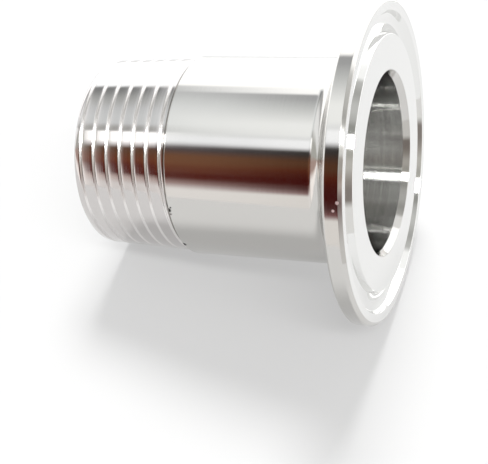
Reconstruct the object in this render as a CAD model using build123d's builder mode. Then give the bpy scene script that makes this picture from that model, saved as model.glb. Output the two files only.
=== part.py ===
from build123d import *
import os
from math import atan, degrees, radians, tan

# Sanitary clamp threaded adapter, one turned piece of stainless steel, in millimetres.
# The axis is Z. The threaded end stands on Z = 0 and the clamp flange is at the top.

# Lengths along the axis
thread_length = 16.2
body_length = 30.7

# Bore and wall
bore_diameter = 27.8
body_wall = 2.25
mouth_width = 0.5
mouth_depth = 1.1
bore_end_chamfer = 0.4

# Clamp flange, with its sloping back
flange_diameter = 50.5
rim_width = 2.65
rim_front_chamfer = 0.5
rim_back_chamfer = 0.2
back_slope_angle = 20.0
neck_fillet = 2.5

# Gasket groove in the sealing face
outer_land = 1.9
groove_width = 3.5
groove_wall_lean = 20.0
groove_wall_depth = 1.0
groove_bottom_radius = 2.0

# Tapered pipe thread, right hand, 11 turns to the inch, whose groove crosses the X axis at the height given
shoulder_step = 0.4
thread_taper = 1 / 16
thread_pitch = 25.4 / 11
thread_flank_angle = 55.0
thread_gap = 0.75
groove_crossing_height = 1.86
end_chamfer = 0.4

# Relief at the shoulder, and how far below it the middle of the thread groove stops
relief_width = 0.6
relief_extra_depth = 0.08
thread_stop = 0.15

# How far the thread cutter stands proud of the crests
cutter_rise = 0.3

# Worked out from the sizes above
overall_length = thread_length + body_length
flange_radius = flange_diameter / 2
bore_radius = bore_diameter / 2
body_radius = bore_radius + body_wall
mouth_radius = bore_radius + mouth_width

# The sloping back of the flange, where it starts at the rim and where it meets the body
rim_back = overall_length - rim_width
back_foot = rim_back - (flange_radius - body_radius) * tan(radians(back_slope_angle))

# The gasket groove, which is narrower where its leaning walls meet the round bottom
groove_middle = flange_radius - outer_land - groove_width / 2
groove_mouth_half = groove_width / 2
groove_bottom_half = groove_mouth_half - groove_wall_depth * tan(radians(groove_wall_lean))
groove_wall_foot = overall_length - groove_wall_depth

# Crest radius at the shoulder and at the end, and the depth of the thread groove
crest_slope = thread_taper / 2
crest_radius = body_radius - shoulder_step
crest_radius_end = crest_radius - thread_length * crest_slope
flank_run = tan(radians(thread_flank_angle / 2))
thread_depth = thread_gap / 2 / flank_run
relief_radius = crest_radius - thread_depth - relief_extra_depth
relief_start = thread_length - relief_width

# The helix starts two turns below the groove's crossing, so that the groove runs out of the end face
helix_start = groove_crossing_height - 2 * thread_pitch
helix_height = relief_start - thread_stop - helix_start
helix_radius = crest_radius_end + helix_start * crest_slope
cutter_half = thread_gap / 2 + cutter_rise * flank_run


with BuildPart() as adapter_body:
    # Half section of the turned blank, with the radius along X
    with BuildSketch(Plane.XZ) as half_section:
        with BuildLine():
            Polyline(
                (mouth_radius, overall_length),
                (flange_radius, overall_length),
                (flange_radius, rim_back),
                (body_radius, back_foot),
                (body_radius, thread_length),
                (relief_radius, thread_length),
                (relief_radius, relief_start),
                (crest_radius - relief_width * crest_slope, relief_start),
                (crest_radius_end + end_chamfer * crest_slope, end_chamfer),
                (crest_radius_end - end_chamfer, 0),
                (bore_radius + bore_end_chamfer, 0),
                (bore_radius, bore_end_chamfer),
                (bore_radius, overall_length - mouth_depth),
                close=True,
            )
        make_face()
        rim_back_corner, rim_front_corner = half_section.vertices().group_by(Axis.X)[-1].sort_by(Axis.Y)
        chamfer(rim_back_corner, length=rim_back_chamfer)
        chamfer(rim_front_corner, length=rim_front_chamfer)
        neck_corner = half_section.vertices().sort_by_distance((body_radius, back_foot))[0]
        fillet(neck_corner, radius=neck_fillet)
    revolve(axis=Axis.Z)

    # Gasket groove in the sealing face, with leaning walls and a round bottom
    with BuildSketch(Plane.XZ):
        with BuildLine():
            groove_walls = Polyline(
                (groove_middle - groove_bottom_half, groove_wall_foot),
                (groove_middle - groove_mouth_half, overall_length),
                (groove_middle + groove_mouth_half, overall_length),
                (groove_middle + groove_bottom_half, groove_wall_foot),
            )
            RadiusArc(groove_walls @ 1, groove_walls @ 0, groove_bottom_radius)
        make_face()
    revolve(axis=Axis.Z, mode=Mode.SUBTRACT)

    # Thread groove, a vee carried along a tapered helix
    with BuildLine():
        thread_path = Helix(
            pitch=thread_pitch,
            height=helix_height,
            radius=helix_radius,
            center=(0, 0, helix_start),
            cone_angle=degrees(atan(crest_slope)),
        )
    with BuildSketch(Plane.XZ.shift_origin((0, 0, helix_start))):
        with BuildLine():
            Polyline(
                (helix_radius - thread_depth, 0),
                (helix_radius + cutter_rise, -cutter_half),
                (helix_radius + cutter_rise, cutter_half),
                close=True,
            )
        make_face()
    sweep(path=thread_path, is_frenet=True, mode=Mode.SUBTRACT)


adapter_body.part.label = "adapter_body"

os.makedirs("parts", exist_ok=True)
export_step(adapter_body.part, "parts/adapter_body.step")
print("overall length", round(overall_length, 3))
print("thread depth", round(thread_depth, 3))
print("wall under the thread at the end", round(crest_radius_end - thread_depth - bore_radius, 3))
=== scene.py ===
import logging
import math
from dataclasses import dataclass
from enum import Enum
from typing import Union

import bmesh
import bpy
import numpy as np
from mathutils import Matrix, Vector


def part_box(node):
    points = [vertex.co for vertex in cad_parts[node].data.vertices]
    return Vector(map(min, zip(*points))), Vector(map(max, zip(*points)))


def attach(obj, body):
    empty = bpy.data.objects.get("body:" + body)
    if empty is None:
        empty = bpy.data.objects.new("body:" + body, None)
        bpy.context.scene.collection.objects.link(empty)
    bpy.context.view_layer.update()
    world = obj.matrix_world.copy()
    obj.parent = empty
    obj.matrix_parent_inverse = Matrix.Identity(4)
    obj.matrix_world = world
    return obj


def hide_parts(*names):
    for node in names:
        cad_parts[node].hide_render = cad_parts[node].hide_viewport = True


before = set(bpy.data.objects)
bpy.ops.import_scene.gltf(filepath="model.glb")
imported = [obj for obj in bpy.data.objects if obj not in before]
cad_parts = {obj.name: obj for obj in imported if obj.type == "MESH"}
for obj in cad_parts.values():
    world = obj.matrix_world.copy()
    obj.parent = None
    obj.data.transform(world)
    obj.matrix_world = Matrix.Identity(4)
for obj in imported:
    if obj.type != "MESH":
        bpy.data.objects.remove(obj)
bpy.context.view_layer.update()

# Sanitary clamp threaded adapter, one turned piece of stainless steel.
# Lengths in the sizes below are millimetres, and every mesh is in metres.
MILLIMETRE = 0.001
CAD_NODE = "adapter_body"

PIECE_NAME = "turned_adapter"
UV_NAME = "round_and_along"
UP = (0.0, 0.0, 1.0)
HALF_TURN = 180.0

# A rounded corner has at least this many chords
FEWEST_CHORDS = 5
# A side is long, and gets extra points, when this many margins fit into it
LONG_IN_MARGINS = 3
# An edge that bends by more than this many degrees is drawn sharp
SHARP_ANGLE = 40.0
# Points nearer than this many metres are merged, and edges a tenth as long are dropped
MERGE_DISTANCE = 2e-6
EMPTY_EDGE = MERGE_DISTANCE / 10

# The colour sockets of a Mix node, which shares their names with its other kinds
MIX_SHARE, MIX_FIRST, MIX_SECOND, MIX_RESULT = 0, 6, 7, 2
# A mark fades out between these shares of its radius
MARK_BORDER = (0.7, 1.2)
# A quarter turn of the tangent lays the longer blur across the rings
ACROSS_THE_RINGS = 0.25
# The value round which noise swings
NOISE_MIDDLE = 0.5
PLAIN_WHITE = (1, 1, 1, 1)

Corner = tuple[float, float, float]
Tone = tuple[float, float, float]
Socket = bpy.types.NodeSocket
Value = Union[float, tuple, Socket]
log = logging.getLogger("adapter")


class Skin(Enum):
    """The differently machined skins of the part, in the order of its material slots. The sealing
    face's steel is painted lighter as a sheen, and one flank of the thread's groove is painted lighter
    as a highlight.
    """

    TURNED = 0
    THREAD = 1
    FACED = 2
    BORED = 3
    GROOVED = 4


@dataclass(frozen=True)
class Patch:
    """A piece of surface as a grid of points, rows along the section and columns round the axis.

    Attributes:
        points: array of shape (rows, columns, 3), in millimetres.
        skins: number of the skin of each row of faces, or one for all.
    """

    points: np.ndarray
    skins: Union[int, np.ndarray]

    def quads(self, first: int) -> np.ndarray:
        """Join neighbouring points to faces.

        Args:
            first: number of the patch's first point in the whole mesh.

        Returns:
            Array of shape (faces, 4) with the numbers of each face's corners.
        """
        rows, columns = self.points.shape[:2]
        index = first + np.arange(rows * columns).reshape(rows, columns)
        corners = [index[:-1, :-1], index[:-1, 1:], index[1:, 1:], index[1:, :-1]]
        return np.stack(corners, axis=-1).reshape(-1, 4)

    def face_skins(self) -> np.ndarray:
        """Return the number of each face's skin."""
        rows, columns = self.points.shape[:2]
        return np.broadcast_to(self.skins, (rows - 1, columns - 1)).ravel()

    def spans(self) -> np.ndarray:
        """Return each point's share of the turn and of the way along the section."""
        rows, columns = self.points.shape[:2]
        turn, along = np.meshgrid(np.linspace(0, 1, columns), np.linspace(0, 1, rows))
        return np.stack([turn, along], axis=-1).reshape(-1, 2)


def rounded_path(corners: list[Corner], longest_chord: float = 0.15) -> np.ndarray:
    """Round the corners of an open line by arcs that touch both of its sides.

    At a corner with half angle a between its sides, an arc of radius r starts and ends r / tan(a)
    from the corner, and its centre lies r / sin(a) away on the line that halves the angle. Seen from
    the centre, a point of the arc is the start times the sine of the turn still to come, plus the
    end times the sine of the turn done, over the sine of the whole turn.

    Args:
        corners: (radius from the axis, height, rounding) of each corner, in millimetres.
        longest_chord: no chord of an arc is longer than this.

    Returns:
        Array of shape (points, 2) with the radius and height of each point.
    """
    places = np.array([corner[:2] for corner in corners], float)
    roundings = [corner[2] for corner in corners[1:-1]]
    path = [places[:1]]
    for before, corner, after, rounding in zip(places, places[1:], places[2:], roundings):
        if rounding <= 0:
            path.append(corner[None])
            continue
        back = (before - corner) / np.linalg.norm(before - corner)
        ahead = (after - corner) / np.linalg.norm(after - corner)
        half = math.acos(float(np.clip(back @ ahead, -1, 1))) / 2
        middle = (back + ahead) / np.linalg.norm(back + ahead)
        centre = corner + middle * rounding / math.sin(half)
        start = corner + back * rounding / math.tan(half) - centre
        end = corner + ahead * rounding / math.tan(half) - centre
        turn = math.pi - 2 * half
        steps = max(FEWEST_CHORDS, math.ceil(rounding * turn / longest_chord))
        share = np.linspace(0, 1, steps + 1)[:, None]
        arc = (np.sin((1 - share) * turn) * start + np.sin(share * turn) * end) / math.sin(turn)
        path.append(centre + arc)
    path.append(places[-1:])
    return np.vstack(path)


def with_supports(path: np.ndarray, spacing: float, margin: float) -> np.ndarray:
    """Add points on the long sides of a line, so that rounded corners don't shade them.

    Args:
        path: array of shape (points, 2), in millimetres.
        spacing: a long side gets one extra point for each such length, and at least two.
        margin: distance from each end of a long side to its first extra point.

    Returns:
        The line with the extra points.
    """
    out = []
    for start, end in zip(path, path[1:]):
        length = float(np.linalg.norm(end - start))
        stops = [0.0]
        if length > LONG_IN_MARGINS * margin:
            inner = np.linspace(margin, length - margin, max(2, math.ceil(length / spacing)))
            stops.extend(inner / length)
        out.append(start + np.array(stops)[:, None] * (end - start))
    out.append(path[-1:])
    return np.vstack(out)


def softly_positive(values: np.ndarray, softness: float) -> np.ndarray:
    """Return each value if it is above zero, else zero, with a rounded bend between.

    The formula is softness times the logarithm of 1 plus e to the power value over softness.

    Args:
        values: array of any shape.
        softness: how far from zero the bend reaches, in the unit of the values.

    Returns:
        Array of the same shape.
    """
    return softness * np.logaddexp(0, values / softness)


@dataclass
class Adapter:
    """The turned adapter, from its threaded end on the floor to its clamp flange.

    Lengths are millimetres and angles are degrees.

    Attributes:
        flange_radius: radius of the clamp flange.
        overall_length: height of the sealing face above the threaded end.
        body_radius: radius of the plain body.
        bore_radius: radius of the bore.
        mouth_width: how far the chamfer at the bore's mouth opens out.
        mouth_depth: how far that chamfer reaches down.
        rim_width: width of the flange's rim, chamfers included.
        rim_front_chamfer: chamfer between the rim and the sealing face.
        rim_back_chamfer: chamfer between the rim and the sloping back.
        rim_edge: rounding of the edges that these chamfers leave.
        back_slope: slope of the flange's back.
        neck_fillet: radius of the hollow between the body and the sloping back.
        outer_land: width of the sealing face outside its groove, chamfer included.
        groove_width: width of the gasket groove at the sealing face.
        groove_wall_lean: how far the groove's walls lean from upright.
        groove_wall_depth: how far down the walls reach before the round bottom.
        groove_bottom_radius: radius of that bottom.
        groove_bottom_points: points across it, with those on the walls.
        groove_lip: rounding of the groove's edges.
        thread_length: height of the shoulder above the threaded end.
        thread_pitch: distance between two turns of the thread.
        thread_gap: width of the thread's groove at the crests.
        thread_flank: lean of each side of the groove from square to the axis.
        thread_taper: how much the diameter shrinks for each step towards the end.
        groove_crossing_height: where the groove crosses the X axis.
        turns_below: turns of the groove to make below that crossing.
        row_shares: places of the mesh's rows from the groove's middle, where 1 is its lip.
        lip_softness: how far the rounding of a lip reaches.
        root_softness: how far the rounding of the groove's root reaches.
        crest_dome: how far the crests' curve falls between a crest's and the groove's middle.
        shoulder_step: how much smaller the thread is at the shoulder than the body.
        shoulder_edge: rounding of the shoulder's edge.
        relief_width: width of the relief below the shoulder.
        relief_depth: depth of the relief below the crests.
        end_chamfer: chamfers of the threaded end, outside and in the bore.
        columns: faces round the axis.
        point_spacing: a long side of the section gets an extra point for each such length.
        support_margin: width of the narrow faces that keep long sides flat.
    """

    flange_radius: float
    overall_length: float
    body_radius: float = 16.15
    bore_radius: float = 13.9
    mouth_width: float = 0.5
    mouth_depth: float = 1.1
    rim_width: float = 2.65
    rim_front_chamfer: float = 0.5
    rim_back_chamfer: float = 0.2
    rim_edge: float = 0.06
    back_slope: float = 20.0
    neck_fillet: float = 2.5
    outer_land: float = 1.9
    groove_width: float = 3.5
    groove_wall_lean: float = 20.0
    groove_wall_depth: float = 1.0
    groove_bottom_radius: float = 2.0
    groove_bottom_points: int = 15
    groove_lip: float = 0.08
    thread_length: float = 16.2
    thread_pitch: float = 25.4 / 11
    thread_gap: float = 0.5
    thread_flank: float = 39.0
    thread_taper: float = 1 / 16
    groove_crossing_height: float = 1.86
    turns_below: int = 2
    row_shares: tuple = (0.0, 0.22, 0.5, 0.78, 1.0, 1.22, 1.55)
    lip_softness: float = 0.025
    root_softness: float = 0.04
    crest_dome: float = 0.012
    shoulder_step: float = 0.4
    shoulder_edge: float = 0.08
    relief_width: float = 0.45
    relief_depth: float = 0.5
    end_chamfer: float = 0.4
    columns: int = 360
    point_spacing: float = 3.0
    support_margin: float = 0.12

    @property
    def shoulder_radius(self) -> float:
        """Radius of the thread's crests at the shoulder."""
        return self.body_radius - self.shoulder_step

    @property
    def relief_radius(self) -> float:
        """Radius of the relief's floor."""
        return self.shoulder_radius - self.relief_depth

    @property
    def relief_start(self) -> float:
        """Height at which the thread ends and the relief starts."""
        return self.thread_length - self.relief_width

    def angles(self) -> np.ndarray:
        """Return the angle of each column, once round the axis, with the last on the first."""
        return np.linspace(-math.pi, math.pi, self.columns + 1)

    def around(self, radius: np.ndarray, height: Union[float, np.ndarray]) -> np.ndarray:
        """Lay points round the axis, at radius times the cosine and the sine of each column's angle.

        Args:
            radius: radii of the points, which spread to (rows, columns).
            height: heights of the points, which spread to the same.

        Returns:
            Points of shape (rows, columns, 3).
        """
        angle = self.angles()
        places = np.broadcast_arrays(radius * np.cos(angle), radius * np.sin(angle), height)
        return np.stack(places, axis=-1)

    def crest_radius(self, height: np.ndarray) -> np.ndarray:
        """Return the radius of the thread's crests, on a cone that narrows towards the end."""
        return self.shoulder_radius - (self.thread_length - height) * self.thread_taper / 2

    def groove_offset(self, angle: np.ndarray, height: np.ndarray) -> np.ndarray:
        """Return how far along the axis each point is from the middle of the nearest groove turn.

        A right-hand groove climbs one pitch per turn, so its middle is at a fixed height plus the
        pitch times the share of a turn, and one pitch more for each turn.

        Args:
            angle: angles round the axis, in radians.
            height: heights above the threaded end.

        Returns:
            Distances between minus and plus half a pitch.
        """
        middle = self.groove_crossing_height + self.thread_pitch * angle / (2 * math.pi)
        return (height - middle + self.thread_pitch / 2) % self.thread_pitch - self.thread_pitch / 2

    def thread_radius(self, angle: np.ndarray, height: np.ndarray) -> np.ndarray:
        """Return the radius of the threaded surface at each angle and height.

        It is the crest cone less the vee, whose depth falls from its root by one over the flank's
        slope for each step along the axis, and less a slight dome that grows with the square of the
        distance from the middle of the crest. Lips and root are rounded, and the end is chamfered.

        Args:
            angle: angles round the axis, in radians.
            height: heights above the threaded end.

        Returns:
            Radii, in millimetres.
        """
        slope = math.tan(math.radians(self.thread_flank))
        offset = self.groove_offset(angle, height)
        from_root = np.hypot(offset, self.root_softness)
        depth = softly_positive((self.thread_gap / 2 - from_root) / slope, self.lip_softness)
        from_crest = 1 - np.abs(offset) * 2 / self.thread_pitch
        threaded = self.crest_radius(height) - self.crest_dome * from_crest**2 - depth
        chamfer = self.crest_radius(np.zeros(1)) - self.end_chamfer + height
        return threaded - softly_positive(threaded - chamfer, self.lip_softness)

    def thread_patch(self) -> Patch:
        """Work out the threaded surface on a grid whose rows climb with the helix.

        A row keeps its distance from the groove and climbs one pitch per turn, so that lips and
        root run along mesh edges. Rows are held between the end and the relief, where they meet.

        Returns:
            The thread as a patch.
        """
        lip = self.thread_gap / 2
        across = np.array(self.row_shares) * lip
        across = np.append(across, (across[-1] + self.thread_pitch / 2) / 2)
        offsets = np.concatenate([-across[:0:-1], across])
        angle = self.angles()[None, :]
        last_turn = math.ceil(self.relief_start / self.thread_pitch)
        turns = np.arange(-self.turns_below, last_turn + 1)
        middles = self.groove_crossing_height + turns[:, None] * self.thread_pitch
        climbing = (middles + offsets).reshape(-1, 1) + self.thread_pitch * angle / (2 * math.pi)
        height = np.clip(climbing, 0, self.relief_start)
        points = self.around(self.thread_radius(angle, height), height)
        between_rows = (offsets[:-1] + offsets[1:]) / 2
        # One flank of the groove gets a rougher steel painted lighter, a painted highlight on that
        # flank
        in_lit_flank = (between_rows > -lip) & (between_rows < 0)
        turn_skins = np.where(in_lit_flank, Skin.GROOVED.value, Skin.THREAD.value)
        skins = np.tile(np.append(turn_skins, Skin.THREAD.value), len(turns))[:-1]
        return Patch(points, skins[:, None])

    def wall_patch(self, height: float, inner: float, inner_first: bool) -> Patch:
        """Close the ring between a plain circle and the thread's outline at one height.

        Args:
            height: height of the flat wall.
            inner: radius of the plain circle.
            inner_first: whether the rows start at the plain circle.

        Returns:
            The flat wall as a patch.
        """
        angle = self.angles()
        outline = self.thread_radius(angle, np.full_like(angle, height))
        share = np.array([0.0, 0.5, 1.0] if inner_first else [1.0, 0.5, 0.0])[:, None]
        return Patch(self.around(inner + share * (outline - inner), height), Skin.THREAD.value)

    def plain_patch(self, corners: list[Corner], skin: Skin) -> Patch:
        """Turn a line of rounded corners round the axis.

        Args:
            corners: (radius from the axis, height, rounding) of each corner.
            skin: the skin of all its faces.

        Returns:
            The turned surface as a patch.
        """
        path = with_supports(rounded_path(corners), self.point_spacing, self.support_margin)
        return Patch(self.around(path[:, :1], path[:, 1:]), skin.value)

    def outside_patch(self) -> Patch:
        """Return relief, shoulder, body, neck, sloping back and rim, up to the sealing face."""
        rim_back = self.overall_length - self.rim_width
        slope = math.tan(math.radians(self.back_slope))
        back_foot = rim_back - (self.flange_radius - self.body_radius) * slope
        front, back = self.rim_front_chamfer, self.rim_back_chamfer
        return self.plain_patch([
            (self.relief_radius, self.relief_start, 0),
            (self.relief_radius, self.thread_length, 0),
            (self.body_radius, self.thread_length, self.shoulder_edge),
            (self.body_radius, back_foot, self.neck_fillet),
            (self.flange_radius - back, rim_back - back * slope, self.rim_edge),
            (self.flange_radius, rim_back + back, self.rim_edge),
            (self.flange_radius, self.overall_length - front, self.rim_edge),
            (self.flange_radius - front, self.overall_length, self.rim_edge),
            (self.flange_radius - front - self.support_margin, self.overall_length, 0),
        ], Skin.TURNED)

    def face_patch(self) -> Patch:
        """Return the sealing face, in to the mouth, with its groove.

        The groove's bottom is an arc between its leaning walls: its points lie the bottom radius
        times the sine of their angle from the groove's middle, and times the cosine below the
        arc's centre.

        Returns:
            The face as a patch.
        """
        top = self.overall_length
        half = self.groove_width / 2
        middle = self.flange_radius - self.outer_land - half
        foot = top - self.groove_wall_depth
        half_foot = half - self.groove_wall_depth * math.tan(math.radians(self.groove_wall_lean))
        half_arc = math.asin(half_foot / self.groove_bottom_radius)
        centre = foot + self.groove_bottom_radius * math.cos(half_arc)
        lean = np.linspace(half_arc, -half_arc, self.groove_bottom_points)[1:-1]
        bottom = np.column_stack([
            middle + self.groove_bottom_radius * np.sin(lean),
            centre - self.groove_bottom_radius * np.cos(lean),
            np.zeros_like(lean),
        ])
        return self.plain_patch([
            (self.flange_radius - self.rim_front_chamfer - self.support_margin, top, 0),
            (middle + half, top, self.groove_lip),
            (middle + half_foot, foot, self.groove_lip),
            *bottom,
            (middle - half_foot, foot, self.groove_lip),
            (middle - half, top, self.groove_lip),
            (self.bore_radius + self.mouth_width + self.support_margin, top, 0),
        ], Skin.FACED)

    def bore_patch(self) -> Patch:
        """Return the chamfered mouth, the bore and its end chamfer, down to the end face."""
        top = self.overall_length
        mouth = self.bore_radius + self.mouth_width
        points = self.plain_patch([
            (mouth + self.support_margin, top, 0),
            (mouth, top, self.lip_softness),
            (self.bore_radius, top - self.mouth_depth, self.lip_softness),
            (self.bore_radius, self.end_chamfer, self.lip_softness),
            (self.bore_radius + self.end_chamfer, 0, 0),
        ], Skin.BORED).points
        heights = points[:, 0, 2]
        in_mouth = (heights[1:] + heights[:-1]) / 2 > top - self.mouth_depth
        skins = np.where(in_mouth, Skin.TURNED.value, Skin.BORED.value)
        return Patch(points, skins[:, None])

    def patches(self) -> list[Patch]:
        """Return every patch of the closed surface."""
        return [
            self.wall_patch(0.0, self.bore_radius + self.end_chamfer, inner_first=True),
            self.thread_patch(),
            self.wall_patch(self.relief_start, self.relief_radius, inner_first=False),
            self.outside_patch(),
            self.face_patch(),
            self.bore_patch(),
        ]

    def mesh(self, finishes: list[bpy.types.Material]) -> bpy.types.Mesh:
        """Join the patches to one closed mesh.

        Args:
            finishes: one material for each skin, in order.

        Returns:
            The new mesh.
        """
        patches = self.patches()
        firsts = np.cumsum([0] + [patch.points[..., 0].size for patch in patches[:-1]])
        points = np.vstack([patch.points.reshape(-1, 3) for patch in patches]) * MILLIMETRE
        corners = np.vstack([patch.quads(first) for patch, first in zip(patches, firsts)])
        skins = np.concatenate([patch.face_skins() for patch in patches])
        spans = np.vstack([patch.spans() for patch in patches])
        mesh = bpy.data.meshes.new(PIECE_NAME)
        mesh.from_pydata(points.tolist(), [], corners.tolist())
        for material in finishes:
            mesh.materials.append(material)
        mesh.polygons.foreach_set("material_index", skins.astype(np.int32))
        layer = mesh.uv_layers.new(name=UV_NAME)
        layer.data.foreach_set("uv", spans[corners.ravel()].astype(np.float32).ravel())
        close_seams(mesh)
        mesh.shade_smooth()
        mesh.set_sharp_from_angle(angle=math.radians(SHARP_ANGLE))
        return mesh

    def build(self, finishes: list[bpy.types.Material]) -> bpy.types.Object:
        """Put the part in the scene, in place of its plain solid.

        Args:
            finishes: one material for each skin, in order.

        Returns:
            The new object.
        """
        mesh = self.mesh(finishes)
        piece = bpy.data.objects.new(PIECE_NAME, mesh)
        bpy.context.scene.collection.objects.link(piece)
        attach(piece, "root")
        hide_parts(CAD_NODE)
        log.info("%s: %d points, %d faces", piece.name, len(mesh.vertices), len(mesh.polygons))
        return piece


def close_seams(mesh: bpy.types.Mesh) -> None:
    """Merge the points that patches share and drop the faces that this leaves empty.

    Args:
        mesh: the mesh to close, changed in place.
    """
    work = bmesh.new()
    work.from_mesh(mesh)
    bmesh.ops.remove_doubles(work, verts=work.verts, dist=MERGE_DISTANCE)
    bmesh.ops.dissolve_degenerate(work, edges=work.edges, dist=EMPTY_EDGE)
    open_edges = sum(not edge.is_manifold for edge in work.edges)
    log.info("%s: %d open edges after the seams are closed", mesh.name, open_edges)
    work.to_mesh(mesh)
    work.free()


class NodeGraph:
    """A node tree that short calls fill."""

    def __init__(self, tree: bpy.types.NodeTree) -> None:
        """Start with an empty tree."""
        self.tree = tree
        tree.nodes.clear()

    def feed(self, socket: Socket, value: Value) -> None:
        """Link a socket to another, or set it to a plain value."""
        if isinstance(value, bpy.types.NodeSocket):
            self.tree.links.new(value, socket)
        else:
            socket.default_value = value

    def add(self, kind: str, inputs: dict, **settings: object) -> bpy.types.Node:
        """Add a node.

        Args:
            kind: Blender's name of the node type.
            inputs: value or socket for each named or numbered input.
            settings: the node's own options.

        Returns:
            The new node.
        """
        node = self.tree.nodes.new(kind)
        for name, value in settings.items():
            setattr(node, name, value)
        for key, value in inputs.items():
            self.feed(node.inputs[key], value)
        return node

    def math(self, operation: str, *values: Value) -> Socket:
        """Add a sum of the given kind and return its result."""
        return self.add("ShaderNodeMath", dict(enumerate(values)), operation=operation).outputs[0]

    def vector(self, operation: str, *values: Value) -> Socket:
        """Add a sum of vectors of the given kind and return its result."""
        inputs = dict(enumerate(values))
        return self.add("ShaderNodeVectorMath", inputs, operation=operation).outputs["Vector"]

    def scaled(self, vector: Socket, scale: Socket) -> Socket:
        """Stretch a vector by a number and return the result."""
        inputs = {0: vector, "Scale": scale}
        return self.add("ShaderNodeVectorMath", inputs, operation="SCALE").outputs["Vector"]

    def noise(self, place: Socket, scale: float, detail: float) -> Socket:
        """Add noise in space and return its value.

        Args:
            place: where the noise is read, in metres.
            scale: bumps per metre.
            detail: how many finer layers it has.

        Returns:
            The noise, from 0 to 1.
        """
        inputs = {"Vector": place, "Scale": scale, "Detail": detail}
        return self.add("ShaderNodeTexNoise", inputs).outputs["Fac"]

    def line_noise(self, along: Socket, spacing: float, **settings: float) -> Socket:
        """Add noise along one line and return how far it is above its middle.

        Args:
            along: place on the line, in metres.
            spacing: distance between bumps, in millimetres.
            settings: values of the node's other inputs.

        Returns:
            The noise, which swings round 0.
        """
        inputs = {"W": along, "Scale": 1 / (spacing * MILLIMETRE), **settings}
        noise = self.add("ShaderNodeTexNoise", inputs, noise_dimensions="1D").outputs["Fac"]
        return self.math("SUBTRACT", noise, NOISE_MIDDLE)

    def mix(self, share: Value, first: Value, second: Value) -> Socket:
        """Mix two colours and return the result."""
        inputs = {MIX_SHARE: share, MIX_FIRST: first, MIX_SECOND: second}
        return self.add("ShaderNodeMix", inputs, data_type="RGBA").outputs[MIX_RESULT]


@dataclass(frozen=True)
class Mark:
    """A small nick or speck on the steel, left by handling, whose colour paints the nick's shade or the
    speck's glint.

    Attributes:
        angle: compass angle round the axis, in degrees.
        height: height above the threaded end, in millimetres.
        from_axis: distance from the axis, in millimetres.
        across: its diameter, in millimetres.
        colour: its colour, painted shade for a dent or a painted glint for a speck.
        roughness: how much it blurs a reflection.
    """

    angle: float
    height: float
    from_axis: float
    across: float
    colour: Tone
    roughness: float

    def share(self, graph: NodeGraph, place: Socket) -> Socket:
        """Return 1 on the mark and 0 away from it, with a soft border.

        Args:
            graph: the tree to fill.
            place: the place on the part.

        Returns:
            The share of the mark.
        """
        turn = math.radians(self.angle)
        centre = (
            self.from_axis * math.cos(turn) * MILLIMETRE,
            self.from_axis * math.sin(turn) * MILLIMETRE,
            self.height * MILLIMETRE,
        )
        measure = graph.add("ShaderNodeVectorMath", {0: place, 1: centre}, operation="DISTANCE")
        inner, outer = (self.across / 2 * MILLIMETRE * border for border in MARK_BORDER)
        return graph.add("ShaderNodeMapRange", {
            "Value": measure.outputs["Value"],
            "From Min": inner,
            "From Max": outer,
            "To Min": 1.0,
            "To Max": 0.0,
        }).outputs["Result"]


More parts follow.
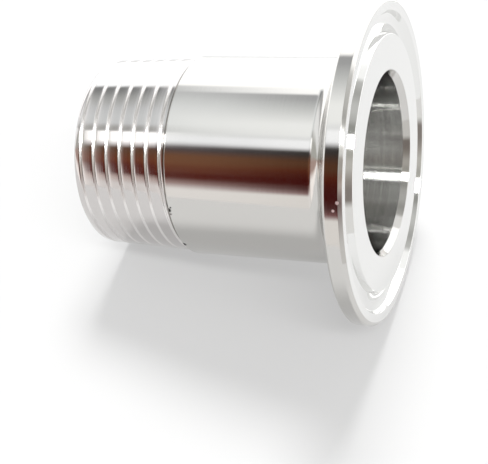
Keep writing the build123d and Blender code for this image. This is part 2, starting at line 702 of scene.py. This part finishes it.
@dataclass(frozen=True)
class TurnedSteel:
    """Bright stainless steel with the rings and shake marks that a lathe tool leaves.

    Attributes:
        name: name of the material.
        colour: colour of the metal at full reflection.
        roughness: how much a reflection is blurred.
        stretch: how much more it is blurred across the rings than along them.
        patchiness: least and most of the roughness, as shares of it.
        patch_scale: patches of it per metre.
        ring_spacing: distance between coarse rings, in millimetres.
        ring_slope: how steep the sides of the rings are, as rise over run.
        wander: how far a ring wanders on its way round, in millimetres.
        wander_scale: turns in its way per metre.
        chatter_spacing: distance between the slanting marks of a tool that shook, in millimetres.
        chatter_slope: how steep the sides of those marks are.
        chatter_lean: how far they run along the axis for each step round it.
        painted_nicks: small marks of handling, whose colours are painted shade and painted glints.
    """

    name: str
    colour: Tone = (0.60, 0.59, 0.57)
    roughness: float = 0.15
    stretch: float = 0.8
    patchiness: tuple = (0.8, 1.25)
    patch_scale: float = 250.0
    ring_spacing: float = 0.3
    ring_slope: float = 0.03
    wander: float = 0.02
    wander_scale: float = 60.0
    chatter_spacing: float = 0.5
    chatter_slope: float = 0.0
    chatter_lean: float = 2.0
    painted_nicks: tuple[Mark, ...] = ()

    def normal(self, graph: NodeGraph, place: Socket) -> Socket:
        """Tilt the surface by the marks of the tool.

        Rings tilt it across the way round the axis. They are noise along one line only, the height
        plus the distance from the axis, which grows steadily along every side of the section, so
        that they run round the part. Shake marks tilt it along the way round, by noise over the
        height plus the way round times their lean.

        Args:
            graph: the tree to fill.
            place: the place on the part.

        Returns:
            The direction that the marked surface faces.
        """
        x, y, z = graph.add("ShaderNodeSeparateXYZ", {0: place}).outputs
        squares = graph.math("ADD", graph.math("MULTIPLY", x, x), graph.math("MULTIPLY", y, y))
        radius = graph.math("SQRT", squares)
        smooth = graph.add("ShaderNodeNewGeometry", {}).outputs["Normal"]
        outward = graph.add("ShaderNodeCombineXYZ", {0: x, 1: y}).outputs[0]
        way_round = graph.vector("CROSS_PRODUCT", UP, graph.vector("NORMALIZE", outward))
        across = graph.vector("CROSS_PRODUCT", smooth, way_round)

        drift = graph.noise(place, self.wander_scale, detail=2.0)
        along = graph.math("ADD", z, radius)
        wandering = graph.math("MULTIPLY_ADD", drift, self.wander * MILLIMETRE, along)
        rings = graph.line_noise(wandering, self.ring_spacing, Detail=4.0, Roughness=0.8)
        ring_tilt = graph.scaled(across, graph.math("MULTIPLY", rings, self.ring_slope))

        turned = graph.math("MULTIPLY", graph.math("ARCTAN2", y, x), radius)
        slanting = graph.math("MULTIPLY_ADD", turned, self.chatter_lean, z)
        chatter = graph.line_noise(slanting, self.chatter_spacing, Detail=1.0)
        shake_tilt = graph.scaled(way_round, graph.math("MULTIPLY", chatter, self.chatter_slope))

        ringed = graph.vector("ADD", smooth, ring_tilt)
        return graph.vector("NORMALIZE", graph.vector("ADD", ringed, shake_tilt))

    def paint(self, graph: NodeGraph, place: Socket) -> tuple[Value, Socket]:
        """Lay the nicks, whose colours are painted shade and painted glints, over the metal's colour
        and its patchy roughness.

        Args:
            graph: the tree to fill.
            place: the place on the part.

        Returns:
            The colour and the roughness.
        """
        least, most = (self.roughness * share for share in self.patchiness)
        patches = graph.noise(place, self.patch_scale, detail=4.0)
        spread = {"Value": patches, "To Min": least, "To Max": most}
        rough = graph.add("ShaderNodeMapRange", spread).outputs["Result"]
        colour = (*self.colour, 1)
        # Each nick's colour is painted shade for a dent or a painted glint for a speck
        for painted_mark in self.painted_nicks:
            share = painted_mark.share(graph, place)
            colour = graph.mix(share, colour, (*painted_mark.colour, 1))
            rougher = graph.math("SUBTRACT", painted_mark.roughness, rough)
            rough = graph.math("MULTIPLY_ADD", share, rougher, rough)
        return colour, rough

    def material(self) -> bpy.types.Material:
        """Build the material.

        Returns:
            The new material.
        """
        material = bpy.data.materials.new(self.name)
        material.use_nodes = True
        graph = NodeGraph(material.node_tree)
        place = graph.add("ShaderNodeTexCoord", {}).outputs["Object"]
        colour, rough = self.paint(graph, place)
        tangent = graph.add("ShaderNodeTangent", {}, direction_type="UV_MAP", uv_map=UV_NAME)
        surface = graph.add("ShaderNodeBsdfPrincipled", {
            "Base Color": colour,
            "Metallic": 1.0,
            "Roughness": rough,
            "Anisotropic": self.stretch,
            "Anisotropic Rotation": ACROSS_THE_RINGS,
            "Normal": self.normal(graph, place),
            "Tangent": tangent.outputs[0],
        }).outputs[0]
        graph.add("ShaderNodeOutputMaterial", {"Surface": surface})
        log.info("finish %s", self.name)
        return material


@dataclass(frozen=True)
class Card:
    """One upright strip of the studio round the part, as the metal mirrors it.

    Attributes:
        start: compass angle round the axis where the strip is fully there, in degrees.
        end: compass angle where it starts to give way to the next.
        tone: its light, where 1 is white.
    """

    start: float
    end: float
    tone: Tone


@dataclass(frozen=True)
class CardRow:
    """The strips that the metal mirrors at one height above the horizon.

    Attributes:
        elevation: height angle of the row, in degrees.
        cards: the strips, by rising angle from -180 to 180 degrees.
    """

    elevation: float
    cards: tuple[Card, ...]

    def ramp(self, graph: NodeGraph, share: Socket) -> Socket:
        """Lay the strips out as a colour ramp.

        Args:
            graph: the tree to fill.
            share: share of a full turn, from 0 to 1.

        Returns:
            The light of the row.
        """
        node = graph.add("ShaderNodeValToRGB", {0: share})
        stops = node.color_ramp.elements
        for stop, place, card in zip(stops, (0.0, 1.0), (self.cards[0], self.cards[-1])):
            stop.position = place
            stop.color = (*card.tone, 1)
        for card in self.cards:
            for angle in sorted({card.start, card.end} - {-HALF_TURN, HALF_TURN}):
                stops.new((angle + HALF_TURN) / (2 * HALF_TURN)).color = (*card.tone, 1)
        return node.outputs[0]


@dataclass(frozen=True)
class Studio:
    """Floor, light and surroundings of the part.

    Attributes:
        rows: the rows of strips, from the lowest to the highest.
        floor_azimuth: compass angle of the line on which the part touches the floor, in degrees.
        sun_direction: the way that the light goes.
        sun_strength: light of the sun on a surface that faces it.
        sun_angle: how wide the sun looks, in degrees.
        floor_paint: share of light that the floor throws back.
        floor_glow: light that the floor adds by itself.
        floor_half: half the side of the floor, in metres.
    """

    rows: tuple[CardRow, ...]
    floor_azimuth: float = 44.5
    sun_direction: tuple = (0.985, 0.170, 0.0)
    sun_strength: float = 8.2
    sun_angle: float = 20.0
    floor_paint: float = 0.15
    floor_glow: float = 0.46
    floor_half: float = 0.1

    def build_world(self) -> None:
        """Make the surroundings: plain white to the camera, and the strips to all else."""
        world = bpy.data.worlds.new("studio")
        world.use_nodes = True
        bpy.context.scene.world = world
        graph = NodeGraph(world.node_tree)
        direction = graph.add("ShaderNodeTexCoord", {}).outputs["Generated"]
        x, y, z = graph.add("ShaderNodeSeparateXYZ", {0: direction}).outputs
        turn = graph.math("ARCTAN2", y, x)
        share = graph.math("MULTIPLY_ADD", turn, 1 / (2 * math.pi), 0.5)
        elevation = graph.math("MULTIPLY", graph.math("ARCSINE", z), math.degrees(1))
        mirrored = self.rows[0].ramp(graph, share)
        for lower, upper in zip(self.rows, self.rows[1:]):
            rise = graph.add("ShaderNodeMapRange", {
                "Value": elevation, "From Min": lower.elevation, "From Max": upper.elevation,
            }).outputs["Result"]
            mirrored = graph.mix(rise, mirrored, upper.ramp(graph, share))
        seen = graph.add("ShaderNodeLightPath", {}).outputs["Is Camera Ray"]
        light = graph.mix(seen, mirrored, PLAIN_WHITE)
        background = graph.add("ShaderNodeBackground", {"Color": light, "Strength": 1.0})
        graph.add("ShaderNodeOutputWorld", {"Surface": background.outputs[0]})

    def floor_place(self, adapter: Adapter) -> tuple[np.ndarray, np.ndarray]:
        """Work out how the floor lies against the threaded end and the rim.

        It leans by the angle whose tangent is how much wider the flange is than the end, over the
        height of the rim's back edge.

        Args:
            adapter: the part that lies on it.

        Returns:
            The floor's upward direction, and the point where the threaded end touches it.
        """
        low = float(adapter.crest_radius(np.zeros(1))[0])
        rise = adapter.overall_length - adapter.rim_width
        lean = math.atan2(adapter.flange_radius - low, rise)
        azimuth = math.radians(self.floor_azimuth)
        out = np.array([math.cos(azimuth), math.sin(azimuth), 0.0])
        normal = -math.cos(lean) * out + math.sin(lean) * np.array(UP)
        return normal, out * low * MILLIMETRE

    def build_floor(self, adapter: Adapter) -> bpy.types.Object:
        """Lay the floor, which is seen only from its upper side.

        Args:
            adapter: the part that lies on it.

        Returns:
            The floor object.
        """
        normal, contact = self.floor_place(adapter)
        side = np.cross(normal, UP)
        side /= np.linalg.norm(side)
        ahead = np.cross(side, normal)
        steps = np.array([(-1, -1), (1, -1), (1, 1), (-1, 1)]) * self.floor_half
        points = contact + steps @ np.stack([side, ahead])
        mesh = bpy.data.meshes.new("floor")
        mesh.from_pydata(points.tolist(), [], [(0, 1, 2, 3)])
        mesh.update()
        if Vector(normal).dot(mesh.polygons[0].normal) < 0:
            mesh.flip_normals()
        mesh.materials.append(self.floor_material())
        floor = bpy.data.objects.new("floor", mesh)
        bpy.context.scene.collection.objects.link(floor)
        return floor

    def floor_material(self) -> bpy.types.Material:
        """Return white paint that keeps shadows, and can't be seen from below."""
        material = bpy.data.materials.new("floor_white")
        material.use_nodes = True
        graph = NodeGraph(material.node_tree)
        paint = (self.floor_paint, self.floor_paint, self.floor_paint, 1)
        diffuse = graph.add("ShaderNodeBsdfDiffuse", {"Color": paint}).outputs[0]
        light = {"Color": PLAIN_WHITE, "Strength": self.floor_glow}
        glow = graph.add("ShaderNodeEmission", light).outputs[0]
        front = graph.add("ShaderNodeAddShader", {0: diffuse, 1: glow}).outputs[0]
        clear = graph.add("ShaderNodeBsdfTransparent", {}).outputs[0]
        behind = graph.add("ShaderNodeNewGeometry", {}).outputs["Backfacing"]
        both = graph.add("ShaderNodeMixShader", {0: behind, 1: front, 2: clear}).outputs[0]
        graph.add("ShaderNodeOutputMaterial", {"Surface": both})
        return material

    def build_sun(self) -> None:
        """Hang the one lamp, which only draws the shadow on the floor."""
        lamp = bpy.data.lights.new("sun", "SUN")
        lamp.energy = self.sun_strength
        lamp.angle = math.radians(self.sun_angle)
        sun = bpy.data.objects.new("sun", lamp)
        sun.rotation_euler = Vector(self.sun_direction).to_track_quat("-Z", "Y").to_euler()
        sun.visible_glossy = False
        bpy.context.scene.collection.objects.link(sun)


@dataclass(frozen=True)
class PhotoCamera:
    """The camera of the photograph, which saw the part lying down, so it is rolled on its side.

    Attributes:
        height_angle: how far it looks down on the standing part, in degrees.
        roll: how far it is rolled about its own line of sight, in degrees.
        right: how far right of the picture's middle the centre of the sealing face is, in millimetres.
        down: how far below the picture's middle that centre is, in millimetres.
        distance: how far along the line of sight that centre is, in millimetres.
        focal_pixels: distance of the picture plane, in pixels of the picture.
        middle_right: how far right of the picture's middle the line of sight meets it, in pixels.
        middle_down: how far below the picture's middle the line of sight meets it, in pixels.
        picture_width: width of the picture, in pixels.
        sensor_width: width of the sensor, in millimetres.
        nearest: nearest distance that it sees, in metres.
    """

    height_angle: float = 21.28
    roll: float = 94.08
    right: float = 22.194
    down: float = -10.554
    distance: float = 171.457
    focal_pixels: float = 1108.4
    middle_right: float = 0.82
    middle_down: float = -0.19
    picture_width: int = 488
    sensor_width: float = 36.0
    nearest: float = 0.01

    def build(self, overall_length: float) -> bpy.types.Object:
        """Set the camera.

        Args:
            overall_length: height of the sealing face above the threaded end, in millimetres.

        Returns:
            The camera object.
        """
        tilt = math.radians(self.height_angle)
        roll = math.radians(self.roll)
        ahead = np.array([0.0, math.cos(tilt), -math.sin(tilt)])
        level_up = np.array([0.0, math.sin(tilt), math.cos(tilt)])
        right = math.cos(roll) * np.array([1.0, 0.0, 0.0]) + math.sin(roll) * level_up
        down = np.cross(ahead, right)
        face = np.array([0.0, 0.0, overall_length])
        place = face - (self.right * right + self.down * down + self.distance * ahead)
        data = bpy.data.cameras.new("camera")
        data.sensor_width = self.sensor_width
        data.lens = self.focal_pixels / self.picture_width * self.sensor_width
        data.shift_x = -self.middle_right / self.picture_width
        data.shift_y = self.middle_down / self.picture_width
        data.clip_start = self.nearest
        camera = bpy.data.objects.new("camera", data)
        turned = Matrix(np.column_stack([right, -down, -ahead]).tolist()).to_4x4()
        turned.translation = Vector(place * MILLIMETRE)
        camera.matrix_world = turned
        bpy.context.scene.collection.objects.link(camera)
        bpy.context.scene.camera = camera
        return camera


WHITE = (1.8, 1.8, 1.8)
COOL_WHITE = (1.80, 1.87, 1.90)
LAMP = (34.0, 34.0, 34.0)
FAINT_LAMP = (5.0, 5.0, 5.0)

# What the neck mirrors, steeply down
NADIR_CARDS = (
    Card(-180.0, -165.0, (0.60, 0.60, 0.60)),
    Card(-150.0, -125.0, (1.25, 1.26, 1.27)),
    Card(-108.0, -92.0, (0.62, 0.62, 0.58)),
    Card(-84.0, -72.0, (0.60, 0.44, 0.39)),
    Card(-60.0, 60.0, (1.45, 1.38, 1.34)),
    Card(95.0, 180.0, WHITE),
)

# What the thread mirrors, far below the horizon of the standing part
THREAD_CARDS = (
    Card(-180.0, -176.5, COOL_WHITE),
    Card(-172.5, -168.0, (0.30, 0.31, 0.31)),
    Card(-158.0, -158.0, (0.50, 0.52, 0.51)),
    Card(-149.0, -149.0, (0.64, 0.66, 0.65)),
    Card(-141.0, -141.0, (0.79, 0.82, 0.83)),
    Card(-131.0, -121.0, (0.88, 0.92, 0.93)),
    Card(-116.0, -111.5, (0.55, 0.55, 0.53)),
    Card(-110.0, -99.5, (2.2, 2.2, 2.2)),
    Card(-95.5, -95.5, (1.15, 1.10, 1.10)),
    Card(-91.0, -86.0, (0.15, 0.06, 0.027)),
    Card(-76.0, -76.0, (0.19, 0.040, 0.014)),
    Card(-70.0, -60.5, (0.12, 0.010, 0.005)),
    Card(-55.0, -55.0, (0.68, 0.54, 0.50)),
    Card(-46.0, 60.0, (0.98, 0.94, 0.92)),
    Card(95.0, 180.0, COOL_WHITE),
)

# What the body mirrors, well below the horizon
LOW_CARDS = (
    Card(-180.0, -172.5, WHITE),
    Card(-170.0, -160.0, (0.98, 1.00, 1.02)),
    Card(-150.0, -150.0, (1.14, 1.17, 1.19)),
    Card(-140.0, -140.0, (1.24, 1.27, 1.29)),
    Card(-130.0, -119.0, (1.30, 1.33, 1.34)),
    Card(-109.0, -107.5, (1.09, 1.12, 1.14)),
    Card(-105.5, -101.0, (1.16, 1.19, 1.24)),
    Card(-94.0, -91.5, (0.12, 0.10, 0.11)),
    Card(-84.0, -76.0, (0.29, 0.135, 0.070)),
    Card(-69.0, -67.0, (0.23, 0.075, 0.040)),
    Card(-63.5, -58.5, (0.145, 0.024, 0.013)),
    Card(-53.0, -53.0, (0.50, 0.33, 0.31)),
    Card(-47.0, 60.0, (1.22, 1.18, 1.16)),
    Card(95.0, 180.0, WHITE),
)

# What the flange's rim mirrors, from below the horizon to just above it
RIM_CARDS = (
    Card(-180.0, -163.0, WHITE),
    Card(-160.5, -155.0, (0.53, 0.54, 0.55)),
    Card(-146.0, -146.0, (0.74, 0.76, 0.76)),
    Card(-138.0, -138.0, (0.95, 0.97, 0.97)),
    Card(-124.0, -112.0, (1.38, 1.40, 1.40)),
    Card(-108.5, -107.5, (1.18, 1.20, 1.22)),
    Card(-105.5, -98.5, (1.44, 1.46, 1.50)),
    Card(-94.0, -91.0, (0.045, 0.04, 0.035)),
    Card(-83.0, -80.0, (0.11, 0.045, 0.022)),
    Card(-74.0, -74.0, (0.10, 0.012, 0.004)),
    Card(-68.0, -53.0, (0.06, 0.002, 0.002)),
    Card(-48.5, -48.5, (0.22, 0.06, 0.06)),
    Card(-45.0, 60.0, (1.08, 1.04, 1.01)),
    Card(95.0, 180.0, WHITE),
)

# What the bore, its mouth, the sealing face and its groove mirror, with one narrow lamp
HIGH_CARDS = (
    Card(-180.0, -163.0, (1.15, 1.15, 1.14)),
    Card(-158.0, -155.0, (0.58, 0.58, 0.56)),
    Card(-148.0, -146.0, (0.46, 0.46, 0.44)),
    Card(-136.0, -130.0, (0.62, 0.62, 0.60)),
    Card(-122.0, -122.0, (0.52, 0.52, 0.50)),
    Card(-116.5, -109.5, (0.34, 0.34, 0.32)),
    Card(-105.0, -102.0, LAMP),
    Card(-97.0, -91.0, (0.46, 0.45, 0.41)),
    Card(-86.0, -80.0, (0.56, 0.54, 0.50)),
    Card(-70.0, -70.0, (0.36, 0.33, 0.30)),
    Card(-62.0, -52.0, (0.27, 0.24, 0.22)),
    Card(-45.0, 60.0, (0.85, 0.84, 0.82)),
    Card(95.0, 180.0, WHITE),
)

# What the rim's front chamfer and the thread's groove mirror, nearly overhead
TOP_CARDS = (
    Card(-180.0, -180.0, (0.50, 0.50, 0.48)),
    Card(-160.0, -152.0, (0.80, 0.80, 0.78)),
    Card(-147.0, -133.0, (0.58, 0.58, 0.56)),
    Card(-122.0, -118.0, FAINT_LAMP),
    Card(-108.0, -75.0, (0.70, 0.70, 0.66)),
    Card(-60.0, -52.0, (0.60, 0.50, 0.44)),
    Card(-37.0, -30.0, (0.22, 0.14, 0.13)),
    Card(-12.0, -12.0, (0.56, 0.52, 0.51)),
    Card(4.0, 60.0, (0.85, 0.84, 0.82)),
    Card(95.0, 180.0, WHITE),
)

# What stands straight overhead
ZENITH_CARDS = (
    Card(-180.0, -120.0, (1.0, 1.0, 1.0)),
    Card(-112.0, -98.0, (1.6, 1.6, 1.6)),
    Card(-90.0, -58.0, (0.32, 0.24, 0.20)),
    Card(-46.0, 180.0, (1.15, 1.12, 1.10)),
)

STUDIO_ROWS = (
    CardRow(-35.5, NADIR_CARDS),
    CardRow(-32.2, THREAD_CARDS),
    CardRow(-30.0, THREAD_CARDS),
    CardRow(-25.0, LOW_CARDS),
    CardRow(-18.0, RIM_CARDS),
    CardRow(5.0, RIM_CARDS),
    CardRow(13.0, HIGH_CARDS),
    CardRow(35.0, HIGH_CARDS),
    CardRow(68.0, TOP_CARDS),
    CardRow(84.0, ZENITH_CARDS),
)

# Dents in the body's edge at the shoulder, painted dark as their shade, and two specks on the rim,
# painted lighter as glints
DENT_SHADE = (0.01, 0.01, 0.01)
DENT_HALF_SHADE = (0.15, 0.13, 0.13)
# Lighter than the steel: painted glints on the rim's specks
SPECK_GLINT = (0.98, 0.80, 0.80)
ON_BODY = 16.15
ON_RIM = 25.25
NICK_SHADES_AND_GLINTS = (
    Mark(-56.2, 16.1, ON_BODY, 0.35, DENT_SHADE, 0.4),
    Mark(-53.4, 16.2, ON_BODY, 0.80, DENT_SHADE, 0.4),
    Mark(-55.2, 16.6, ON_BODY, 0.30, DENT_SHADE, 0.4),
    Mark(-50.8, 16.4, ON_BODY, 0.35, DENT_HALF_SHADE, 0.4),
    Mark(-24.0, 16.2, ON_BODY, 1.0, DENT_SHADE, 0.4),
    Mark(-73.0, 46.32, ON_RIM, 0.50, SPECK_GLINT, 0.5),
    Mark(-70.4, 45.73, ON_RIM, 0.42, SPECK_GLINT, 0.4),
)

FINISHES = {
    # The turned steel carries the nicks' painted shade and glints
    Skin.TURNED: TurnedSteel("turned_steel", roughness=0.09, stretch=0.95, painted_nicks=NICK_SHADES_AND_GLINTS),
    Skin.THREAD: TurnedSteel("threaded_steel", colour=(0.60, 0.58, 0.57), roughness=0.08),
    # The sealing face's steel is lighter than the turned steel: a painted sheen
    Skin.FACED: TurnedSteel("faced_steel_painted_sheen", colour=(0.80, 0.80, 0.79), roughness=0.07),
    Skin.BORED: TurnedSteel(
        "bored_steel",
        colour=(0.56, 0.56, 0.545),
        roughness=0.06,
        stretch=0.95,
        ring_spacing=0.01,
        ring_slope=2.6,
        chatter_slope=0.03,
    ),
    # One flank of the thread's groove: rougher cut, with a lighter colour that is a painted highlight
    Skin.GROOVED: TurnedSteel("rough_flank_painted_lighter", colour=(0.84, 0.82, 0.81), roughness=0.2, stretch=0.0),
}

# The light that comes out of the bore was thrown from wall to wall many times
BOUNCES = 16


def main() -> None:
    """Build the part, its finishes, the studio and the camera."""
    logging.basicConfig(level=logging.INFO, format="%(name)s: %(message)s")
    _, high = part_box(CAD_NODE)
    adapter = Adapter(flange_radius=high.x / MILLIMETRE, overall_length=high.z / MILLIMETRE)
    adapter.build([FINISHES[skin].material() for skin in Skin])
    studio = Studio(STUDIO_ROWS)
    studio.build_world()
    studio.build_floor(adapter)
    studio.build_sun()
    PhotoCamera().build(adapter.overall_length)
    scene = bpy.context.scene
    scene.view_settings.view_transform = "Standard"
    scene.cycles.max_bounces = BOUNCES
    scene.cycles.glossy_bounces = BOUNCES


if __name__ == "__main__":
    main()
